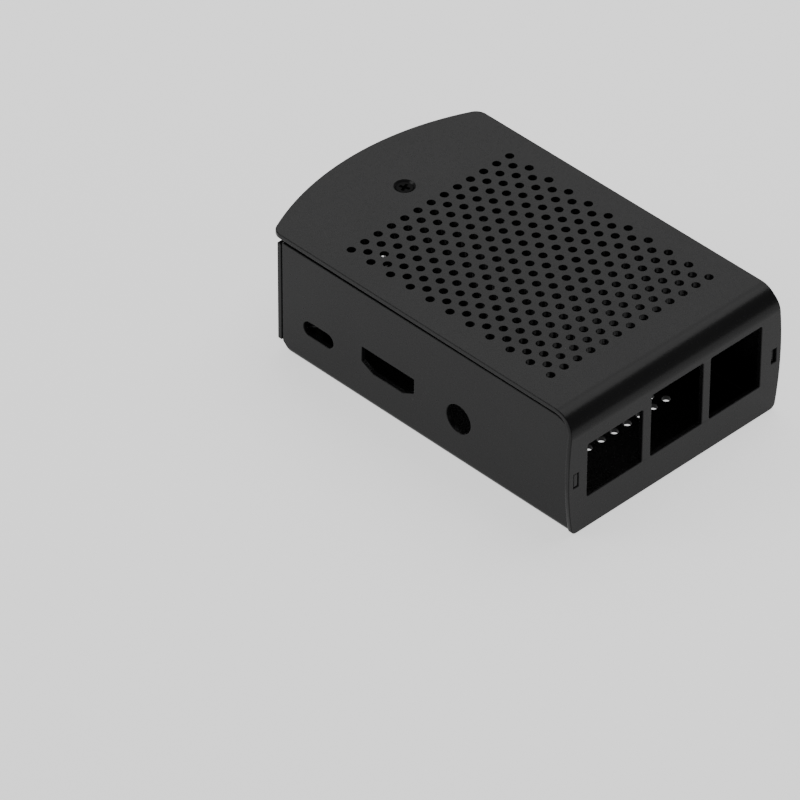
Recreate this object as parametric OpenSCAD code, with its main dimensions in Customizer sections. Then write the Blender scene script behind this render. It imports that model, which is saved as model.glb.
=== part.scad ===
// Sheet metal case for a credit card sized computer board.
// A folded tray takes the board on four standoffs. A perforated cover, bent
// once at the front, hooks on the tray's tabs and is held by one screw.
// X runs across the case, Z is up. The port panel faces -Y, the side ports
// face -X, and the round end of the cover overhangs the card slot at +Y.

/* [Sheet] */
// Thickness of the steel sheet of the tray and the cover
sheet_t = 1.2; // [1:0.1:2]
// Inside radius of the sharp folds of the tray
fold_r = 0.4; // [0.2:0.1:0.8]

/* [Cover] */
// How far the tip of the round end overhangs the rear wall
end_overhang = 8.1; // [7:0.1:16]
// Height from the top of the double ports to the top of the cover
over_ports = 6.7; // [6.6:0.1:20]
// Outside radius of the bend between the cover's top and the panel
bend_r = 5.5; // [3:0.1:6.5]
// How far the tip of the round end lies behind the start of its corners
end_rise = 9.4; // [7:0.1:11]
// Radius of the two corners beside the round end
end_corner_r = 3; // [1:0.1:4]

/* [Panel] */
// How far the panel's sides swell out beyond the cover's straight sides
swell = 1.1; // [0.3:0.1:2]
// Height of the widest point of the panel
swell_z = 16; // [14:0.1:20]
// Distance from the top of the cover down to where the swell ends
swell_end = 1.7; // [0.5:0.1:4]
// Height of the panel's lower edge over the underside of the floor
panel_gap = 0.2; // [0.1:0.1:1]
// Radius of the panel's lower corners
panel_corner_r = 1.5; // [0.5:0.1:3]

/* [Perforation] */
// Diameter of the vent holes
vent_d = 2; // [1:0.1:2.6]
// Distance between the vent holes of one row
vent_pitch = 4; // [3.6:0.1:6]
// Distance between the rows, which are staggered
row_pitch = 3; // [2.6:0.1:5]
// Bare strip between the cover's sides and the outermost vent holes
vent_side = 7.3; // [4:0.1:14]
// Distance from the panel's face to the first row of the cover
vent_front = 14; // [9:0.1:30]
// Bare length between the last row of the cover and the screw
vent_screw = 8; // [5:0.1:20]
// Distance from the panel's face to the first row of the floor
floor_vent_front = 17; // [8:0.1:30]
// Bare length between the last row of the floor and the rear wall
floor_vent_rear = 17; // [6:0.1:30]
// Bare width between the standoffs' axes and the nearest vent holes
floor_vent_side = 7; // [5:0.1:16]

/* [Tray] */
// How far the cover's straight sides overhang the side walls
side_overhang = 0.55; // [0.1:0.05:0.8]
// Clearance between the tray's front edges and the inside of the panel
front_gap = 0.3; // [0.1:0.1:1]
// Gap between the side walls and the cover's underside, at the front
wall_gap = 0.95; // [0.3:0.05:2]
// How much lower the side walls are at their rear end
wall_fall = 0.3; // [0:0.05:1]
// Radius of the side walls' upper front corners
wall_corner_r = 4; // [1:0.1:6]
// Gap between the rear wall and the cover's underside
rear_gap = 1.9; // [1.7:0.1:4]
// Slit between the side walls' rear ends and the rear wall
corner_slit = 0.3; // [0.1:0.1:1]
// Length of the relief cut at the two rear corners of the floor
relief_l = 2; // [1.5:0.1:4]
// Height of the relief cut
relief_h = 2.5; // [2:0.1:4]

/* [Front tabs] */
// Height of the tabs that reach through the panel's slots
tab_h = 3.4; // [2:0.1:6]
// Height of the tabs' middle over the underside of the floor
tab_z = 14.75; // [8:0.05:18]
// Clearance between a tab and its slot, all round
tab_gap = 0.15; // [0.05:0.05:0.5]
// How far a tab's end lies inside the panel's face
tab_inset = 0.15; // [0:0.05:0.6]

/* [Cover screw] */
// Distance from the outside of the rear wall to the screw
screw_inset = 7.8; // [7.6:0.1:12]
// Thread diameter
screw_d = 2.5; // [2:0.1:3]
// Diameter of the countersunk head
head_d = 4.7; // [4.6:0.1:5.5]
// Length of the screw with its head
screw_l = 6; // [4.5:0.5:10]
// How deep the head lies below the cover's top
head_sink = 0.1; // [0:0.05:0.3]
// Width of the rim between the cross recess and the head's edge
recess_rim = 1.05; // [0.8:0.05:1.5]
// Width of one slot of the cross recess
recess_slot = 0.7; // [0.4:0.1:1.2]
// Least width of metal left beside the recess's floor
recess_skin = 0.15; // [0.1:0.05:0.4]
// Width of the lug that the screw pulls the cover onto
lug_w = 12; // [8:0.5:12]
// Diameter of the pressed nut's flange, under the lug
nut_d = 5.6; // [5:0.1:8]
// Diameter of the nut's shank, in the lug
nut_shank_d = 4.2; // [3.6:0.1:4.8]
// Height of the nut's flange
nut_h = 1.5; // [0.8:0.1:3]

/* [Board] */
// Length of the board that the case is made for
board_l = 85; // [75:0.1:120]
// Width of the board
board_w = 56; // [50:0.1:70]
// Thickness of the board
board_t = 1.4; // [1:0.1:1.8]
// Gap between the board and the side wall with the ports
port_side_gap = 0.8; // [0.4:0.1:3]
// Gap between the board and the other side wall
blind_side_gap = 2.4; // [0.4:0.1:6]
// Distance from the panel's face to the board's port end
board_front = 2.9; // [2:0.1:4]
// Clearance between the board's card end and the rear wall
board_gap = 0.9; // [0.3:0.1:1.5]
// Spacing of the board's fixing holes along the board
hole_span_l = 58; // [50:0.5:60]
// Distance from the board's side edges and card end to its fixing holes
hole_inset = 3.5; // [3:0.1:6]

/* [Standoffs] */
// Height of the standoffs over the floor
standoff_h = 6; // [4:0.1:8]
// Diameter of a standoff
standoff_d = 4.2; // [3.8:0.1:6]
// Diameter of the threaded bore
standoff_bore = 2.5; // [2:0.1:3]
// How far the flats of the base pressed into the floor stand out from it
hex_rim = 0.3; // [0.2:0.05:1]
// Height of the six sided base
standoff_base = 0.8; // [0.4:0.1:1]

/* [Front ports] */
// Height of the network port's opening, which takes the width left over
net_h = 14; // [12:0.1:16]
// Width of the two double ports' openings
usb_w = 15.7; // [13:0.1:18]
// Height of the two double ports' openings
usb_h = 16.4; // [14:0.1:20]
// Distance from the board's side edge to the network port's opening
edge_bar = 1.95; // [1:0.05:4]
// Width of the bar between the network port and the first double port
net_bar = 2.6; // [1:0.1:6]
// Width of the bar between the two double ports
usb_bar = 2.3; // [1:0.1:6]
// Distance from the second double port to the board's other side edge
far_bar = 1.15; // [0.5:0.05:4]
// Corner radius of the three openings
port_r = 0.4; // [0.2:0.1:1]

/* [Side ports] */
// Length of the power slot
power_l = 9.2; // [8:0.1:11]
// Height of the power slot
power_h = 3.7; // [3:0.1:5]
// Distance from the board's card end to the power slot
power_y = 10.6; // [10:0.1:12]
// Height of the power slot's middle over the board
power_z = 1.7; // [1:0.1:2.5]
// Length of the display port's opening
display_l = 15.9; // [14:0.1:17]
// Length of its lower edge, between the two slanting corners
display_foot = 8.9; // [6:0.1:12]
// Height of the display port's opening
display_h = 5.5; // [4.5:0.1:7]
// Height of its straight ends
display_side = 3.8; // [2:0.1:4.4]
// Distance from the board's card end to the display port
display_y = 32; // [30:0.1:34]
// Height of the opening's lower edge over the board
display_z = 0.6; // [0.2:0.1:1.5]
// Diameter of the audio hole
audio_d = 7.2; // [5:0.1:8]
// Distance from the board's card end to the audio hole
audio_y = 53.5; // [51:0.1:56]
// Height of the audio hole's middle over the board
audio_z = 3.15; // [2.5:0.05:4]

/* [Card slot] */
// Width of the memory card slot in the rear wall
card_w = 13; // [11:0.1:16]
// Height of the memory card slot
card_h = 2.2; // [1.5:0.1:3]
// How far the slot's upper edge lies above the board's underside
card_rise = 0.2; // [0:0.1:0.8]
// Radius of the thumb notch over the slot
thumb_r = 2; // [1:0.1:4]

/* [Hidden] */
// Clearance round the screw in the nut
nut_gap = 0.05;
// Clearance round the screw in the cover
cover_gap = 0.1;
// Extra depth of every cut, so that no skin is left
cut = 1;
// Angle of the bends
right_angle = 90;
// Sides of a standoff's base
hex_sides = 6;
// Steps of the large arcs
large_arc = 180;

// Radii of the two kinds of bend
bend_inner_r = bend_r - sheet_t;
fold_outer_r = fold_r + sheet_t;

// Heights
board_z = sheet_t + standoff_h;
board_top = board_z + board_t;
case_h = board_top + usb_h + over_ports;
under_cover = case_h - sheet_t;
wall_front_z = under_cover - wall_gap;
wall_rear_z = wall_front_z - wall_fall;
rear_z = under_cover - rear_gap;

// Places along the case, measured from the panel's face
tray_front = sheet_t + front_gap;
card_end = board_front + board_l;
rear_inside = card_end + board_gap;
rear_y = rear_inside + sheet_t;
wall_rear = rear_inside - corner_slit;
screw_y = rear_y - screw_inset;
cover_l = rear_y + end_overhang;

// Widths of the tray, of the cover over its straight sides, and of the
// tray's rear fold between the two relief cuts
tray_w = board_w + port_side_gap + blind_side_gap + 2 * sheet_t;
cover_w = tray_w + 2 * side_overhang;
fold_w = tray_w - 2 * (fold_outer_r + relief_l / 2);

// Middle of the board, and its edge on the port side
board_x = (port_side_gap - blind_side_gap) / 2;
port_edge = board_x - board_w / 2;
hole_span_w = board_w - 2 * hole_inset;

// Network opening's width, and middles of the panel's three openings
net_w = board_w - edge_bar - net_bar - usb_bar - far_bar - 2 * usb_w;
net_x = port_edge + edge_bar + net_w / 2;
usb_x = [net_x + (net_w + usb_w) / 2 + net_bar,
    port_edge + board_w - far_bar - usb_w / 2];

// Middle of the side walls' thickness, where the tabs and slots are
tab_x = (tray_w - sheet_t) / 2;

// Countersunk cone under the head, and cross recess in it
head_cone = (head_d - screw_d) / 2;
recess_w = head_d - 2 * recess_rim;
recess_depth = recess_rim - recess_skin;

// Width across the flats of a standoff's base
standoff_hex = standoff_d + 2 * hex_rim;

// Round end of the cover, seen from above
end_corner_x = cover_w / 2 - end_corner_r;
end_corner_y = cover_l - end_rise;
end_inner_rise = end_rise - end_corner_r;
end_r = arc_radius(end_corner_x, end_inner_rise) + end_corner_r;
end_y = cover_l - end_r;
end_corner_angle = atan2(end_corner_y - end_y, end_corner_x);

// Swelling sides of the panel, seen from the front
swell_top = case_h - swell_end;
swell_r = arc_radius(swell_top - swell_z, swell);
swell_x = cover_w / 2 + swell - swell_r;
corner_z = panel_gap + panel_corner_r;
corner_angle = asin((swell_z - corner_z) / (swell_r - panel_corner_r));
corner_x = swell_x + (swell_r - panel_corner_r) * cos(corner_angle);
corner_meet_z = corner_z - panel_corner_r * sin(corner_angle);

// Counts of vent holes either side of the middle, and of rows
cover_half = floor((cover_w / 2 - vent_side) / vent_pitch);
cover_rows = 1 + floor((screw_y - vent_screw - vent_front) / row_pitch);
floor_half = floor((hole_span_w / 2 - abs(board_x) - floor_vent_side) / vent_pitch);
floor_rows = 1 + floor((rear_inside - floor_vent_rear - floor_vent_front) / row_pitch);

// Fixing holes of the board: across, along
hole_places = [for (along = [0, 1]) for (across = [-1, 1])
    [board_x + across * hole_span_w / 2, card_end - hole_inset - along * hole_span_l]];

STANDOFFS = ["standoff_1", "standoff_2", "standoff_3", "standoff_4"];

$fn = 48;

// Radius of an arc from half its chord and its rise over the chord
function arc_radius(half_chord, rise) =
    (pow(half_chord, 2) + pow(rise, 2)) / (2 * rise);

// Moves a piece from the panel's face to the part's origin, under its middle
module place() {
    translate([0, -cover_l / 2, 0]) children();
}

// Rectangle with round corners, its middle at the origin
module rounded(w, h, r) {
    square([w - 2 * r, h], center = true);
    square([w, h - 2 * r], center = true);
    for (x = [-1, 1]) for (y = [-1, 1])
        translate([x * (w / 2 - r), y * (h / 2 - r)]) circle(r);
}

// Slot with round ends along X, its middle at the origin
module slot(w, h) {
    square([w - h, h], center = true);
    for (x = [-1, 1]) translate([x * (w - h) / 2, 0]) circle(h / 2);
}

// Staggered rows of vent holes, from the middle of the first row backward
module vents(half, rows) {
    for (row = [0 : rows - 1]) {
        odd = row % 2;
        for (i = [-half : half - odd])
            translate([(i + odd / 2) * vent_pitch, row * row_pitch]) circle(vent_d / 2);
    }
}

// Quarter of a ring: the section of a bend, from +X round to +Y
module bend_section(inner, outer) {
    intersection() {
        difference() {
            circle(outer);
            circle(inner);
        }
        square(outer);
    }
}

// Stands a drawing up so that its X becomes Y, its Y becomes Z, and it
// is extruded across the case, about the middle
module across(w) {
    rotate([right_angle, 0, right_angle])
        linear_extrude(w, center = true) children();
}

// Stands a drawing up in the plane of the panel and extrudes it backward
module backward(depth) {
    translate([0, depth, 0]) rotate([right_angle, 0, 0])
        linear_extrude(depth) children();
}

// Cover seen from above, without its bend
module cover_outline() {
    straight_l = end_corner_y - bend_r;
    translate([-cover_w / 2, bend_r]) square([cover_w, straight_l]);
    for (side = [-1, 1])
        translate([side * end_corner_x, end_corner_y]) circle(end_corner_r);
    intersection() {
        translate([0, end_y]) circle(end_r, $fn = large_arc);
        polygon([
            [-end_corner_x, end_corner_y],
            [0, end_y],
            [end_corner_x, end_corner_y],
            [end_r * cos(end_corner_angle), end_y + end_r * sin(end_corner_angle)],
            [end_r * cos(end_corner_angle), cover_l + cut],
            [-end_r * cos(end_corner_angle), cover_l + cut],
            [-end_r * cos(end_corner_angle), end_y + end_r * sin(end_corner_angle)]
        ]);
    }
}

// Panel seen from the front: swelling sides over round lower corners
module panel_outline() {
    intersection() {
        translate([swell_x, swell_z]) circle(swell_r, $fn = large_arc);
        translate([-swell_x, swell_z]) circle(swell_r, $fn = large_arc);
        translate([-cover_w, corner_meet_z]) square([2 * cover_w, swell_top - corner_meet_z]);
    }
    translate([-cover_w / 2, swell_top]) square([cover_w, case_h - swell_top]);
    translate([-corner_x, panel_gap]) square([2 * corner_x, panel_corner_r]);
    for (side = [-1, 1])
        translate([side * corner_x, corner_z]) circle(panel_corner_r);
}

// Openings in the panel for the board's ports and the tray's tabs
module panel_openings() {
    translate([net_x, board_top + net_h / 2]) rounded(net_w, net_h, port_r);
    for (x = usb_x)
        translate([x, board_top + usb_h / 2]) rounded(usb_w, usb_h, port_r);
    for (side = [-1, 1])
        translate([side * tab_x, tab_z])
            square([sheet_t + 2 * tab_gap, tab_h + 2 * tab_gap], center = true);
}

// Panel and bend seen from the side, with the panel's face at zero
module panel_section() {
    square([sheet_t, case_h - bend_r]);
    translate([bend_r, case_h - bend_r]) rotate(right_angle)
        bend_section(bend_inner_r, bend_r);
}

// Space of the countersunk head, open upward, with its tip at the thread
module head_space() {
    translate([0, screw_y, case_h - head_sink - head_cone])
        cylinder(h = head_cone + cut, d1 = screw_d, d2 = head_d + 2 * cut);
}

module top_cover() {
    place() color("#2f2f31") difference() {
        union() {
            translate([0, 0, under_cover]) linear_extrude(sheet_t) difference() {
                cover_outline();
                translate([0, vent_front]) vents(cover_half, cover_rows);
            }
            intersection() {
                across(2 * cover_w) panel_section();
                backward(bend_r) difference() {
                    panel_outline();
                    panel_openings();
                }
            }
        }
        head_space();
        translate([0, screw_y, under_cover - cut])
            cylinder(h = sheet_t + cut, d = screw_d + 2 * cover_gap);
    }
}

// Side wall seen from the side, from the fold up, with its tab
module wall_outline() {
    difference() {
        union() {
            polygon([
                [tray_front, fold_outer_r],
                [wall_rear, fold_outer_r],
                [wall_rear, wall_rear_z],
                [tray_front + wall_corner_r, wall_front_z],
                [tray_front + wall_corner_r, wall_front_z - wall_corner_r],
                [tray_front, wall_front_z - wall_corner_r]
            ]);
            translate([tray_front + wall_corner_r, wall_front_z - wall_corner_r])
                rotate(right_angle) intersection() {
                    circle(wall_corner_r);
                    square(wall_corner_r);
                }
            translate([tab_inset, tab_z - tab_h / 2])
                square([tray_front - tab_inset + wall_corner_r / 2, tab_h]);
        }
        relief_outline();
    }
}

// Slanting relief cut at the wall's lower rear corner
module relief_outline() {
    polygon([
        [wall_rear - relief_l, -cut],
        [wall_rear - relief_l, sheet_t / 2],
        [wall_rear, relief_h],
        [wall_rear + cut, relief_h],
        [wall_rear + cut, -cut]
    ]);
}

// Openings in the side wall for the board's power, display and audio ports
module side_openings() {
    translate([card_end - power_y, board_top + power_z])
        slot(power_l, power_h);
    translate([card_end - display_y, board_top + display_z])
        polygon([
            [-display_foot / 2, 0],
            [display_foot / 2, 0],
            [display_l / 2, display_h - display_side],
            [display_l / 2, display_h],
            [-display_l / 2, display_h],
            [-display_l / 2, display_h - display_side]
        ]);
    translate([card_end - audio_y, board_top + audio_z]) circle(audio_d / 2);
}

// Rear wall seen from behind, from the fold up, with the card slot
module rear_outline() {
    difference() {
        union() {
            translate([-tray_w / 2, relief_h]) square([tray_w, rear_z - relief_h]);
            translate([-fold_w / 2, fold_outer_r]) square([fold_w, rear_z - fold_outer_r]);
            translate([-lug_w / 2, fold_outer_r])
                square([lug_w, under_cover - 2 * fold_outer_r]);
        }
        translate([board_x, board_z + card_rise]) {
            translate([-card_w / 2, -card_h]) square([card_w, card_h]);
            intersection() {
                circle(thumb_r);
                translate([-thumb_r, -card_h / 2])
                    square([2 * thumb_r, thumb_r + card_h / 2]);
            }
        }
    }
}

// Lug seen from above: a strip with a round end about the screw
module lug_outline() {
    difference() {
        union() {
            translate([-lug_w / 2, screw_y])
                square([lug_w, rear_y - fold_outer_r - screw_y]);
            intersection() {
                translate([0, screw_y]) circle(lug_w / 2);
                translate([-lug_w / 2, screw_y - lug_w / 2]) square([lug_w, lug_w / 2]);
            }
        }
        translate([0, screw_y]) circle(nut_shank_d / 2);
    }
}

// Fold along the case, from the floor up to the side wall at +X
module side_fold() {
    translate([tray_w / 2 - fold_outer_r, wall_rear, fold_outer_r])
        rotate([right_angle, 0, 0]) linear_extrude(wall_rear - tray_front)
            rotate(-right_angle) bend_section(fold_r, fold_outer_r);
}

// Floor seen from above, with vent holes and the standoffs' holes
module floor_outline() {
    difference() {
        union() {
            translate([fold_outer_r - tray_w / 2, tray_front])
                square([tray_w - 2 * fold_outer_r, wall_rear - tray_front]);
            translate([-fold_w / 2, tray_front])
                square([fold_w, rear_y - fold_outer_r - tray_front]);
        }
        translate([0, floor_vent_front]) vents(floor_half, floor_rows);
        for (p = hole_places) translate(p) circle(standoff_d / 2);
    }
}

module base_tray() {
    place() color("#2b2b2d") difference() {
        union() {
            linear_extrude(sheet_t) floor_outline();
            for (side = [0, 1]) mirror([side, 0, 0]) side_fold();
            translate([tab_x, 0, 0]) across(sheet_t) wall_outline();
            translate([-tab_x, 0, 0]) across(sheet_t) difference() {
                wall_outline();
                side_openings();
            }
            translate([0, rear_y - fold_outer_r, fold_outer_r])
                across(fold_w) rotate(-right_angle) bend_section(fold_r, fold_outer_r);
            translate([0, rear_inside, 0]) backward(sheet_t) rear_outline();
            translate([0, rear_y - fold_outer_r, under_cover - fold_outer_r])
                across(lug_w) bend_section(fold_r, fold_outer_r);
            translate([0, 0, under_cover - sheet_t]) linear_extrude(sheet_t) lug_outline();
        }
        for (side = [-1, 1])
            translate([side * (fold_w + tray_w) / 4, 0, 0])
                across((tray_w - fold_w) / 2) relief_outline();
        for (p = hole_places) translate([p[0], p[1], -cut]) hex_base(standoff_base + cut);
        head_space();
    }
}

// Six sided base of a standoff, standing on the XY plane
module hex_base(h) {
    cylinder(h = h, d = standoff_hex / cos(2 * right_angle / hex_sides), $fn = hex_sides);
}

module cover_screw() {
    place() color("#151516") translate([0, screw_y, case_h - head_sink]) difference() {
        union() {
            translate([0, 0, -head_cone]) cylinder(h = head_cone, d1 = screw_d, d2 = head_d);
            translate([0, 0, -screw_l]) cylinder(h = screw_l - head_cone, d = screw_d);
        }
        for (turn = [0, right_angle]) rotate(turn)
            translate([-recess_w / 2, -recess_slot / 2, -recess_depth])
                cube([recess_w, recess_slot, recess_depth + cut]);
    }
}

module cover_nut() {
    place() color("#9a9c9e") difference() {
        translate([0, screw_y, under_cover - sheet_t]) {
            cylinder(h = sheet_t, d = nut_shank_d);
            translate([0, 0, -nut_h]) cylinder(h = nut_h, d = nut_d);
        }
        translate([0, screw_y, under_cover - sheet_t - nut_h - cut])
            cylinder(h = nut_h + sheet_t + 2 * cut, d = screw_d + 2 * nut_gap);
        head_space();
    }
}

module standoff(p) {
    place() color("#a4a6a8") translate([p[0], p[1], 0]) difference() {
        union() {
            hex_base(standoff_base);
            translate([0, 0, standoff_base / 2])
                cylinder(h = board_z - standoff_base / 2, d = standoff_d);
        }
        translate([0, 0, -cut]) cylinder(h = board_z + 2 * cut, d = standoff_bore);
    }
}

base_tray();
top_cover();
cover_screw();
cover_nut();
for (i = [0 : 3])
    standoff(hole_places[i]);
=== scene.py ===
"""Looks of the sheet metal case for a credit card sized computer board.

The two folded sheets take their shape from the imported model, and get the small
round arrises that a powder coat leaves. The screw, the nut and the standoffs
are built again with their chamfers, threads and recess. All sizes are in metres.
"""
import math

import bmesh
import bpy
from mathutils import Matrix, Vector


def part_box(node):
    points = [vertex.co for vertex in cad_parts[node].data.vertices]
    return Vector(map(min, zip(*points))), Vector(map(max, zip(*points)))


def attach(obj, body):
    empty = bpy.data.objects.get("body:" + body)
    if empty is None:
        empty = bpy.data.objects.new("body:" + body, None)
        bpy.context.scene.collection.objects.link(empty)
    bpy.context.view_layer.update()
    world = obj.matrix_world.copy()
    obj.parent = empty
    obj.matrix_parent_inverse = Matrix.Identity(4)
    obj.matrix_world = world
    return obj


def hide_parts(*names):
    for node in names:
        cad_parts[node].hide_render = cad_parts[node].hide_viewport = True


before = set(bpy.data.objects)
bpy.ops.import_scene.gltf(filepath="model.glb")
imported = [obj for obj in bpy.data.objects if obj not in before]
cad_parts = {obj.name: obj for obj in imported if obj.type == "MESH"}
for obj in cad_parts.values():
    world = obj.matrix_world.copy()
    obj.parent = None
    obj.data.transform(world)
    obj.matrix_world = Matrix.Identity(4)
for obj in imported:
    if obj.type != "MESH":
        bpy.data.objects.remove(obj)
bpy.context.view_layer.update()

MM = 0.001
TAU = 2 * math.pi

# Radius of the sheets' arrises, and of those about the vent holes
ARRIS = 0.2 * MM
VENT_ARRIS = 0.04 * MM
SHARP = math.radians(28)
# Faces that meet at less than 50 degrees shade as one, and a flat face leads them
BLEND = math.cos(math.radians(50))
FLAT_AREA = 0.5 * MM * MM
# Where the painted shadow, a dark patch on the table under the case, begins, and how far it stays
# inside the case's sides and back
SHADOW_FRONT = -15 * MM
SHADOW_SIDE = 1.5 * MM
SHADOW_BACK = 2 * MM
# How the scene's tray departs from the solid: the right tab's end, and the floor's vent holes
TAB_BACK = 0.5 * MM
TAB_TIP = 0.3 * MM
FLOOR_VENT_SHIFT = Vector((-0.4, 0.5, 0)) * MM
STANDOFF_CLEAR = 4 * MM
STANDOFFS = (1, 2, 3, 4)
cover_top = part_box("top_cover")[1].z
standoff_axes = [sum(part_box(f"standoff_{i}"), Vector()).xy / 2 for i in STANDOFFS]
tab_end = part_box("base_tray")[0].y
# The table lies this far under the case, so that their faces don't coincide
TABLE_GAP = 0.00002


# Camera

PICTURE = 800
FOCAL_PX = 7360.42
SENSOR_MM = 36
CAMERA_AT = (-0.893345, -0.872577, 0.993121)
CAMERA_RIGHT = (0.714118, -0.700019, 0.003051)
CAMERA_DOWN = (-0.436415, -0.448604, -0.779933)
CAMERA_AHEAD = (0.547337, 0.555632, -0.625856)


def add_camera():
    data = bpy.data.cameras.new("camera")
    data.sensor_width = SENSOR_MM
    data.sensor_fit = "HORIZONTAL"
    data.lens = FOCAL_PX / PICTURE * SENSOR_MM
    data.clip_start = 0.05
    data.clip_end = 50
    camera = bpy.data.objects.new("camera", data)
    right, up, back = Vector(CAMERA_RIGHT), -Vector(CAMERA_DOWN), -Vector(CAMERA_AHEAD)
    turn = Matrix((right, up, back)).transposed().to_4x4()
    camera.matrix_world = Matrix.Translation(CAMERA_AT) @ turn
    bpy.context.scene.collection.objects.link(camera)
    bpy.context.scene.camera = camera


# Node helpers

def new_material(name):
    mat = bpy.data.materials.new(name)
    mat.use_nodes = True
    nodes = mat.node_tree.nodes
    return mat, nodes, mat.node_tree.links, nodes["Principled BSDF"]


def add_node(nodes, kind, inputs=None, **settings):
    node = nodes.new(kind)
    for key, value in settings.items():
        setattr(node, key, value)
    for key, value in (inputs or {}).items():
        node.inputs[key].default_value = value
    return node


def noise(nodes, links, coords, scale, detail=2.0, rough=0.5):
    node = add_node(nodes, "ShaderNodeTexNoise",
                    {"Scale": scale, "Detail": detail, "Roughness": rough})
    links.new(coords, node.inputs["Vector"])
    return node.outputs["Fac"]


def spread(nodes, links, value, low, high, out_low, out_high):
    node = add_node(nodes, "ShaderNodeMapRange",
                    {"From Min": low, "From Max": high, "To Min": out_low, "To Max": out_high})
    links.new(value, node.inputs["Value"])
    return node.outputs["Result"]


def mix(nodes, links, factor, first, second):
    node = add_node(nodes, "ShaderNodeMix", data_type="RGBA")
    for index, value in ((0, factor), (6, first), (7, second)):
        if hasattr(value, "default_value"):
            links.new(value, node.inputs[index])
        else:
            node.inputs[index].default_value = value
    return node.outputs[2]


# Materials

def powder_coat(name, dark, light, speck):
    """Matte black powder coat: fine sandy grain, faint cloudiness, a few dust specks."""
    mat, nodes, links, shader = new_material(name)
    coords = nodes.new("ShaderNodeTexCoord").outputs["Object"]
    cloud = noise(nodes, links, coords, 60, 3)
    grain = noise(nodes, links, coords, 5200, 3, 0.6)
    peel = noise(nodes, links, coords, 1500, 2)

    base = mix(nodes, links, spread(nodes, links, cloud, 0.35, 0.65, 0, 1), dark, light)
    fine = mix(nodes, links, spread(nodes, links, grain, 0.4, 0.66, 0, 0.5), base,
               tuple(1.5 * c for c in light[:3]) + (1,))
    dust = add_node(nodes, "ShaderNodeTexVoronoi", {"Scale": 260, "Randomness": 1})
    links.new(coords, dust.inputs["Vector"])
    near = spread(nodes, links, dust.outputs["Distance"], 0.02, 0.035, 1, 0)
    pick = add_node(nodes, "ShaderNodeSeparateColor")
    links.new(dust.outputs["Color"], pick.inputs["Color"])
    rare = spread(nodes, links, pick.outputs["Red"], 0.93, 0.94, 0, 1)
    both = add_node(nodes, "ShaderNodeMath", operation="MULTIPLY")
    links.new(near, both.inputs[0])
    links.new(rare, both.inputs[1])
    links.new(mix(nodes, links, both.outputs[0], fine, speck), shader.inputs["Base Color"])

    links.new(spread(nodes, links, peel, 0.3, 0.7, 0.22, 0.28), shader.inputs["Roughness"])
    shader.inputs["Specular IOR Level"].default_value = 0.13

    height = add_node(nodes, "ShaderNodeMath", {1: 0.5}, operation="MULTIPLY_ADD")
    links.new(peel, height.inputs[0])
    links.new(grain, height.inputs[2])
    bump = add_node(nodes, "ShaderNodeBump", {"Strength": 0.35, "Distance": 0.00003})
    links.new(height.outputs[0], bump.inputs["Height"])
    links.new(bump.outputs["Normal"], shader.inputs["Normal"])
    return mat


def metal(name, dark, light, rough_low, rough_high, bare=True):
    """Plated or blackened steel with fine turning marks and a clouded finish."""
    mat, nodes, links, shader = new_material(name)
    coords = nodes.new("ShaderNodeTexCoord").outputs["Object"]
    cloud = noise(nodes, links, coords, 700, 3)
    marks = noise(nodes, links, coords, 9000, 2)
    links.new(mix(nodes, links, spread(nodes, links, cloud, 0.35, 0.65, 0, 1), dark, light),
              shader.inputs["Base Color"])
    links.new(spread(nodes, links, cloud, 0.3, 0.7, rough_low, rough_high),
              shader.inputs["Roughness"])
    shader.inputs["Metallic"].default_value = 1 if bare else 0
    shader.inputs["Specular IOR Level"].default_value = 0.5 if bare else 0.02
    bump = add_node(nodes, "ShaderNodeBump", {"Strength": 0.2, "Distance": 0.00001})
    links.new(marks, bump.inputs["Height"])
    links.new(bump.outputs["Normal"], shader.inputs["Normal"])
    return mat


# Pieces

def dress(piece, material, slot, *nodes):
    piece.data.materials.clear()
    piece.data.materials.append(material)
    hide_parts(*nodes)
    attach(piece, "root")
    return piece


def new_piece(name, bm):
    mesh = bpy.data.meshes.new(name)
    bmesh.ops.recalc_face_normals(bm, faces=bm.faces)
    bm.to_mesh(mesh)
    bm.free()
    piece = bpy.data.objects.new(name, mesh)
    bpy.context.scene.collection.objects.link(piece)
    return piece


def applied(piece):
    """Replaces the piece's mesh by the one that its modifiers make."""
    depsgraph = bpy.context.evaluated_depsgraph_get()
    mesh = bpy.data.meshes.new_from_object(piece.evaluated_get(depsgraph))
    piece.modifiers.clear()
    piece.data = mesh
    return piece


def smooth_arrises(piece):
    """Flat faces shade flat, and the arrises and bends between them shade round."""
    mesh = piece.data
    around = [[] for _ in mesh.vertices]
    for polygon in mesh.polygons:
        polygon.use_smooth = True
        flat = max(map(abs, polygon.normal)) > 0.9999 and polygon.area > FLAT_AREA
        for vertex in polygon.vertices:
            around[vertex].append((polygon.normal.copy(), polygon.area, flat))
    normals = []
    for polygon in mesh.polygons:
        for vertex in polygon.vertices:
            near = [(n.dot(polygon.normal), n, area, flat) for n, area, flat in around[vertex]
                    if n.dot(polygon.normal) > BLEND]
            flats = [(dot, tuple(n)) for dot, n, area, flat in near if flat]
            if flats:
                normals.append(Vector(max(flats)[1]))
            elif near:
                normals.append(sum((n * area for _, n, area, _ in near), Vector()).normalized())
            else:
                normals.append(polygon.normal.copy())
    mesh.normals_split_custom_set(normals)
    return piece


def sharp_edges(bm, wanted):
    """The edges that stand out sharply, of those that are wanted."""
    return [e for e in bm.edges if len(e.link_faces) == 2
            and e.calc_face_angle_signed(0) > SHARP
            and all(wanted(v.co) for v in e.verts)]


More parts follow.
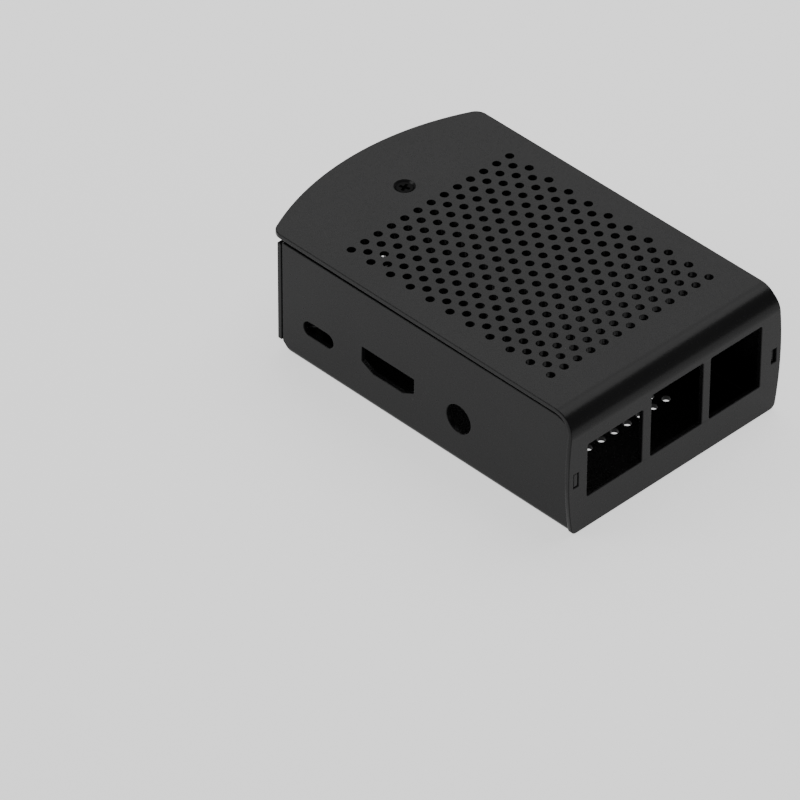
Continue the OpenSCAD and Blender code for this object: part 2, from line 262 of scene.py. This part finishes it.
def folded_sheet(name, node, perforated):
    """The node's sheet with round arrises, smaller ones about its vent holes."""
    bm = bmesh.new()
    bm.from_mesh(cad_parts[node].data)
    bmesh.ops.remove_doubles(bm, verts=bm.verts, dist=1e-6)
    for vert in bm.verts:
        if node == "base_tray" and in_floor_vents(vert.co) and not at_standoff(vert.co):
            vert.co += FLOOR_VENT_SHIFT
    for wanted, radius in ((lambda co: not perforated(co), ARRIS), (perforated, VENT_ARRIS)):
        bmesh.ops.bevel(bm, geom=sharp_edges(bm, wanted), offset=radius, offset_type="OFFSET",
                        segments=2, profile=0.5, affect="EDGES", clamp_overlap=False)
    return new_piece(name, bm)


def in_cover_vents(co):
    return co.z > cover_top - 2 * MM and abs(co.x) < 27 * MM and abs(co.y) < 43 * MM


def in_floor_vents(co):
    return co.z < 2 * MM and abs(co.x) < 28 * MM and abs(co.y) < 38 * MM


def at_standoff(co):
    return any((co.xy - axis).length < STANDOFF_CLEAR for axis in standoff_axes)


def seat_right_tab(piece):
    """The right tab ends a little back in its slot."""
    for vertex in piece.data.vertices:
        if vertex.co.x > 0 and vertex.co.y < tab_end + TAB_TIP:
            vertex.co.y += TAB_BACK


def lathe(name, rows, ring, steps=48, centre=(0, 0)):
    """Rows of (radius, height), each a number or a function of the angle, joined in turn.

    A ring's last row joins its first one; another piece's ends are closed."""
    bm = bmesh.new()
    loops = []
    for radius, height in rows:
        loop = []
        for i in range(steps):
            angle = TAU * i / steps
            r = radius(angle) if callable(radius) else radius
            z = height(angle) if callable(height) else height
            loop.append(bm.verts.new((centre[0] + r * math.cos(angle),
                                      centre[1] + r * math.sin(angle), z)))
        loops.append(loop)
    pairs = list(zip(loops, loops[1:]))
    if ring:
        pairs.append((loops[-1], loops[0]))
    else:
        bm.faces.new(loops[0])
        bm.faces.new(loops[-1])
    for low, high in pairs:
        for i in range(steps):
            k = (i + 1) % steps
            bm.faces.new((low[i], low[k], high[k], high[i]))
    return new_piece(name, bm)


def thread_rows(low, high, crest, root, pitch, per_turn=6):
    """Rows of a thread from low to high, whose depth fades out at both ends."""
    count = max(2, round(abs(high - low) / pitch * per_turn))
    rows = []
    for k in range(count + 1):
        z = low + (high - low) * k / count
        fade = min(1, min(k, count - k) / per_turn)

        def radius(angle, z=z, fade=fade):
            turn = (z / pitch - angle / TAU) % 1
            wave = abs(2 * turn - 1)
            return crest + (root - crest) * wave * fade
        rows.append((radius, z))
    return rows


def hexagon(flats):
    """Radius of a hexagon, as a function of the angle."""
    def radius(angle):
        return flats / 2 / math.cos(angle % (TAU / 6) - TAU / 12)
    return radius


def middle(node):
    low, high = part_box(node)
    return (low + high) / 2, low, high


# Pitch of the screw's, the nut's and the standoffs' thread
PITCH = 0.45 * MM
# The cross recess at three levels, in mm: depth, half length and half width of a wing
RECESS_LEVELS = ((-0.4, 1.5, 0.42), (0.35, 1.2, 0.34), (1.0, 0.55, 0.24))
RECESS_TURN = 0.35


def recess_cutter(x, y, z):
    bm = bmesh.new()
    for turn in (0, TAU / 4):
        spin = Matrix.Translation((x, y, z)) @ Matrix.Rotation(turn + RECESS_TURN, 4, "Z")
        section = []
        for depth, reach, width in RECESS_LEVELS:
            section.append([bm.verts.new(spin @ (Vector((u * reach, v * width, -depth)) * MM))
                            for u, v in ((-1, -1), (1, -1), (1, 1), (-1, 1))])
        bm.faces.new(section[0])
        bm.faces.new(section[-1])
        for lower, upper in zip(section, section[1:]):
            for i in range(4):
                k = (i + 1) % 4
                bm.faces.new((lower[i], lower[k], upper[k], upper[i]))
    return new_piece("recess_cutter", bm)


def add_screw(material):
    centre, low, high = middle("cover_screw")
    shank, rim, sunk, chamfer = 1.25 * MM, 2.35 * MM, 0.25 * MM, 0.1 * MM
    tip, tip_shoulder, thread_depth, head_hub = 0.55 * MM, 0.75 * MM, 0.26 * MM, 0.3 * MM
    cone, head, top = high.z - (rim - shank), rim - sunk, high.z - sunk
    rows = [(tip, low.z), (tip_shoulder, low.z + 0.12 * MM)]
    rows += thread_rows(low.z + 0.3 * MM, cone - 0.25 * MM, shank, shank - thread_depth, PITCH)
    rows += [(shank, cone - 0.1 * MM), (shank, cone),
             (head - chamfer, top - chamfer), (head - 2 * chamfer, top), (head_hub, top)]
    screw = lathe("cover_screw_cross_head", rows, False, centre=(centre.x, centre.y))
    cutter = recess_cutter(centre.x, centre.y, high.z)
    cut = screw.modifiers.new("recess", "BOOLEAN")
    cut.operation, cut.solver, cut.object = "DIFFERENCE", "EXACT", cutter
    cut.use_self = True
    applied(screw)
    bpy.data.objects.remove(cutter)
    soft_edges(screw, 0.03 * MM)
    dress(screw, material, "screw_black", "cover_screw")


def soft_edges(piece, width):
    bevel = piece.modifiers.new("arris", "BEVEL")
    bevel.width, bevel.segments = width, 2
    bevel.limit_method, bevel.angle_limit = "ANGLE", math.radians(40)
    bevel.use_clamp_overlap = True
    applied(piece)
    smooth_arrises(piece)


def add_nut(material):
    centre, low, high = middle("cover_nut")
    flange, barrel, mouth, chamfer = 2.8 * MM, 2.1 * MM, 1.45 * MM, 0.18 * MM
    crest, root, lead = 1.3 * MM, 1.32 * MM, 0.15 * MM
    flange_top = low.z + 1.5 * MM
    rows = [(flange - chamfer, low.z), (flange, low.z + chamfer), (flange, flange_top),
            (barrel, flange_top), (barrel, high.z), (mouth, high.z)]
    rows += thread_rows(high.z - lead, low.z + lead, crest, root, PITCH)
    rows += [(mouth, low.z)]
    nut = lathe("cover_nut_pressed", rows, True, centre=(centre.x, centre.y))
    smooth_arrises(nut)
    dress(nut, material, "plated_steel", "cover_nut")


def add_standoff(index, material):
    node = f"standoff_{index}"
    centre, low, high = middle(node)
    post, base, chamfer, corner = 2.1 * MM, 0.8 * MM, 0.2 * MM, 2.66 * MM
    crest, root = 1.25 * MM, 1.03 * MM
    flats = hexagon(4.8 * MM)

    def eased(angle):
        return min(flats(angle), corner)
    rows = [(lambda a: eased(a) - 0.12 * MM, low.z), (eased, low.z + 0.1 * MM),
            (eased, low.z + base), (post, low.z + base),
            (post, high.z - chamfer), (post - chamfer, high.z), (1.42 * MM, high.z)]
    rows += thread_rows(high.z - chamfer, low.z + 0.25 * MM, crest, root, PITCH)
    rows += [(1.45 * MM, low.z)]
    piece = lathe(f"{node}_threaded", rows, True, centre=(centre.x, centre.y))
    smooth_arrises(piece)
    dress(piece, material, "plated_steel", node)


# Stage

def add_floor():
    bm = bmesh.new()
    bmesh.ops.create_grid(bm, x_segments=1, y_segments=1, size=6)
    floor = new_piece("floor", bm)
    floor.location.z = -TABLE_GAP
    mat, nodes, links, shader = new_material("pale_floor")
    coords = nodes.new("ShaderNodeTexCoord").outputs["Object"]
    shade = spread(nodes, links, noise(nodes, links, coords, 3), 0.3, 0.7, 0.38, 0.42)
    links.new(shade, shader.inputs["Base Color"])
    shader.inputs["Roughness"].default_value = 0.9
    shader.inputs["Emission Color"].default_value = (1, 1, 1, 1)
    shader.inputs["Emission Strength"].default_value = 1.05
    floor.data.materials.append(mat)


def add_contact_shadow():
    """A painted shadow: the table's dark patch under the case, behind the part that the open
    ports light.
    """
    low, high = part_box("base_tray")
    bm = bmesh.new()
    bmesh.ops.create_grid(bm, x_segments=1, y_segments=1, size=0.5)
    patch = new_piece("painted_shadow_under_case", bm)
    back = high.y - SHADOW_BACK
    patch.scale = (high.x - low.x - 2 * SHADOW_SIDE, back - SHADOW_FRONT, 1)
    patch.location = (0, (back + SHADOW_FRONT) / 2, -TABLE_GAP / 2)
    mat, nodes, links, shader = new_material("table_in_shadow")
    coords = nodes.new("ShaderNodeTexCoord").outputs["Object"]
    # Painted shadow: a near black colour on the glowing table where the case shades it
    shade = spread(nodes, links, noise(nodes, links, coords, 3), 0.3, 0.7, 0.02, 0.03)
    links.new(shade, shader.inputs["Base Color"])
    shader.inputs["Roughness"].default_value = 0.9
    patch.data.materials.append(mat)


def add_area(name, at, target, size, power, color=(1, 1, 1)):
    data = bpy.data.lights.new(name, "AREA")
    data.shape, data.size, data.size_y = "RECTANGLE", size[0], size[1]
    data.energy, data.color = power, color
    light = bpy.data.objects.new(name, data)
    light.location = at
    light.rotation_euler = (Vector(target) - Vector(at)).to_track_quat("-Z", "Y").to_euler()
    bpy.context.scene.collection.objects.link(light)


def add_world(strength):
    world = bpy.data.worlds.new("studio")
    world.use_nodes = True
    shader = world.node_tree.nodes["Background"]
    shader.inputs["Color"].default_value = (1, 1, 1, 1)
    shader.inputs["Strength"].default_value = strength
    bpy.context.scene.world = world


add_camera()
add_floor()
add_contact_shadow()
add_world(0.3)
add_area("softbox", (0.75, 0.91, 1.0), (0.75, 0.91, 0), (1.3, 1.32), 10.4)
add_area("softbox_front", (0.75, -0.04, 1.0), (0.75, -0.04, 0), (1.3, 0.58), 6.9)
add_area("rim", (-0.9, 0.8, 0.75), (0, 0, 0.02), (0.7, 0.7), 6.0)

coat = powder_coat("black_powder_coat", (0.005, 0.005, 0.0052, 1),
                   (0.0065, 0.0065, 0.0067, 1), (0.06, 0.06, 0.06, 1))
blackened = metal("blackened_steel", (0.002, 0.002, 0.002, 1), (0.004, 0.004, 0.004, 1), 0.2, 0.3,
                  bare=False)
zinc = metal("zinc_plated_steel", (0.50, 0.51, 0.52, 1), (0.62, 0.63, 0.64, 1), 0.25, 0.4)

cover = folded_sheet("cover_folded_sheet", "top_cover", in_cover_vents)
dress(smooth_arrises(cover), coat, "cover_sheet", "top_cover")
tray = folded_sheet("tray_folded_sheet", "base_tray", in_floor_vents)
dress(smooth_arrises(tray), coat, "tray_sheet", "base_tray")
seat_right_tab(tray)
add_screw(blackened)
add_nut(zinc)
for number in STANDOFFS:
    add_standoff(number, zinc)
